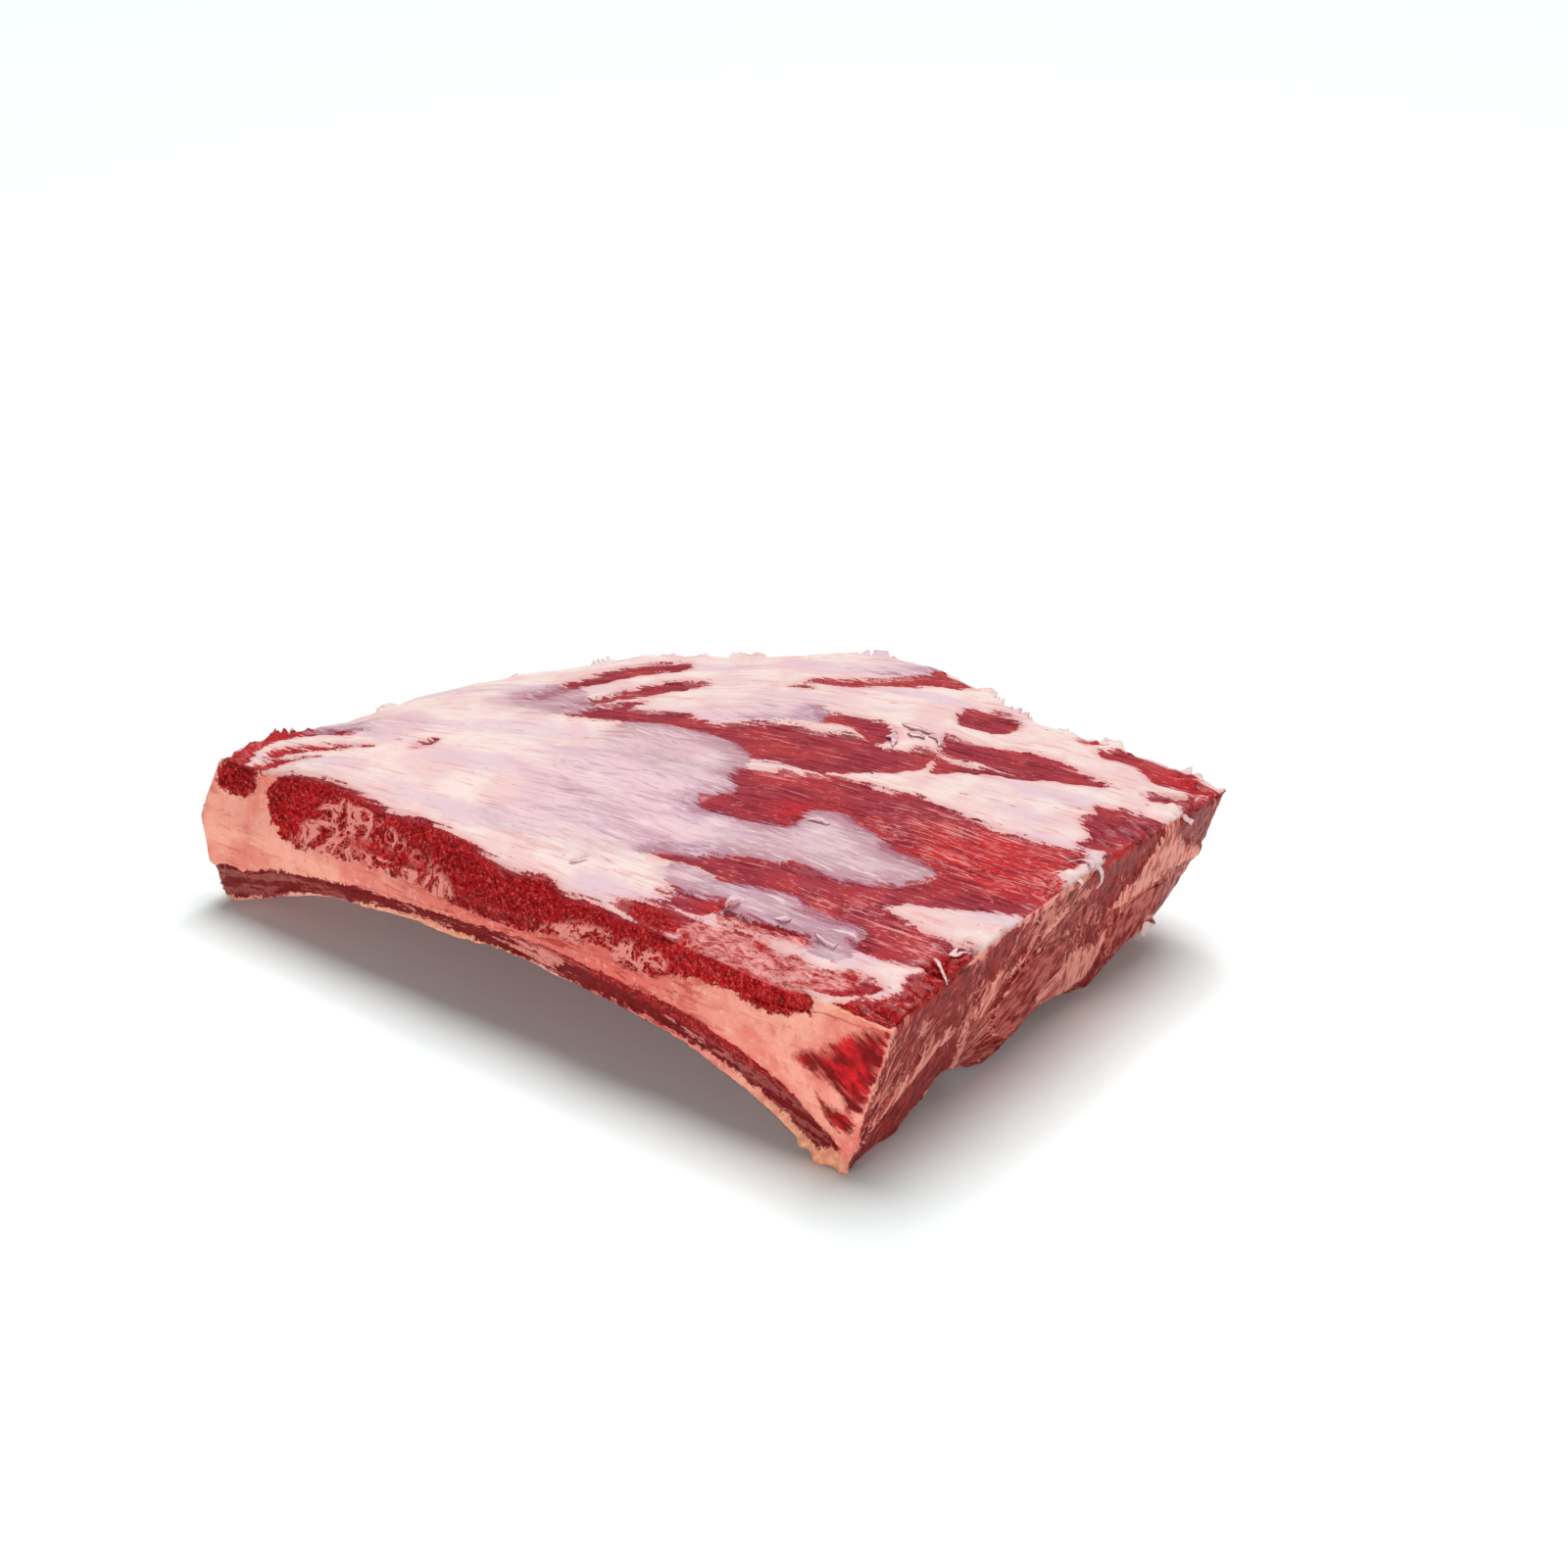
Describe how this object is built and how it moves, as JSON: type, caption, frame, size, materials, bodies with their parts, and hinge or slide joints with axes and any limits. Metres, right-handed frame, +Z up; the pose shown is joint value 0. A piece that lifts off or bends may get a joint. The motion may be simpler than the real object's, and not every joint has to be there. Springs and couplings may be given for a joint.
{
  "type": "raw beef short ribs",
  "caption": "Arched, fan-shaped slab of raw beef short ribs lying meat side up, with marbled muscle, pale fat and silverskin on top and bones showing along one side and at the cut ends.",
  "frame": {"origin": "bottom centre of the slab's bounding box, on the surface that it rests on", "axes": "+X along the ribs from the narrow end to the wide end, +Y across the ribs away from the side where the first rib shows, +Z up"},
  "size_m": [0.3102, 0.227, 0.0684],
  "materials": {
    "raw_meat": "moist raw muscle, marbled with pale pink fat and covered in part by silverskin, satin",
    "rib_bone": "pale pink bone under a thin moist skin, satin, reddish where it is cut"
  },
  "bodies": {
    "root": {"meat": "raw_meat", "rib_1": "rib_bone", "rib_2": "rib_bone", "rib_3": "rib_bone"}
  },
  "joints": []
}
